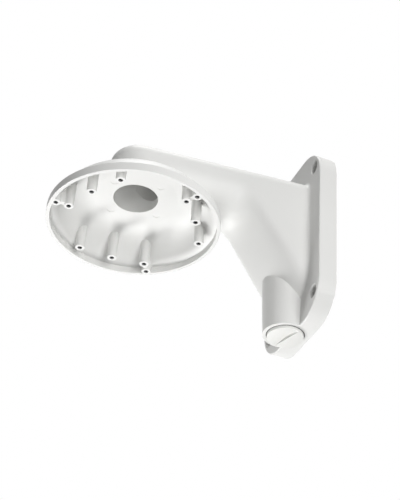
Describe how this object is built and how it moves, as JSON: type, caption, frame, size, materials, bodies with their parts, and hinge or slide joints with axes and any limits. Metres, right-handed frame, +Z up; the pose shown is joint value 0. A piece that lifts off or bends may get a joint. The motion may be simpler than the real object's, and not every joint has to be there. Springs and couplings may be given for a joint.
{
  "type": "camera wall bracket",
  "caption": "Wall bracket for a dome camera: a hollow cast arm carries a round mounting dish out from a wall plate, with a plugged cable inlet below.",
  "frame": {"origin": "middle of the wall plate's back, in the wall plane, at the centre of the four wall screws", "axes": "+Y into the wall, +Z up, the arm reaches along -Y and the camera dish faces -Z"},
  "size_m": [0.1408, 0.2265, 0.1679],
  "materials": {
    "coated_casting": "white powder coat",
    "plug_plastic": "fine matte moulding",
    "seal_rubber": "matte"
  },
  "bodies": {
    "root": {"bracket_casting": "coated_casting", "inlet_plug": "plug_plastic", "plug_seal": "seal_rubber"}
  },
  "joints": []
}
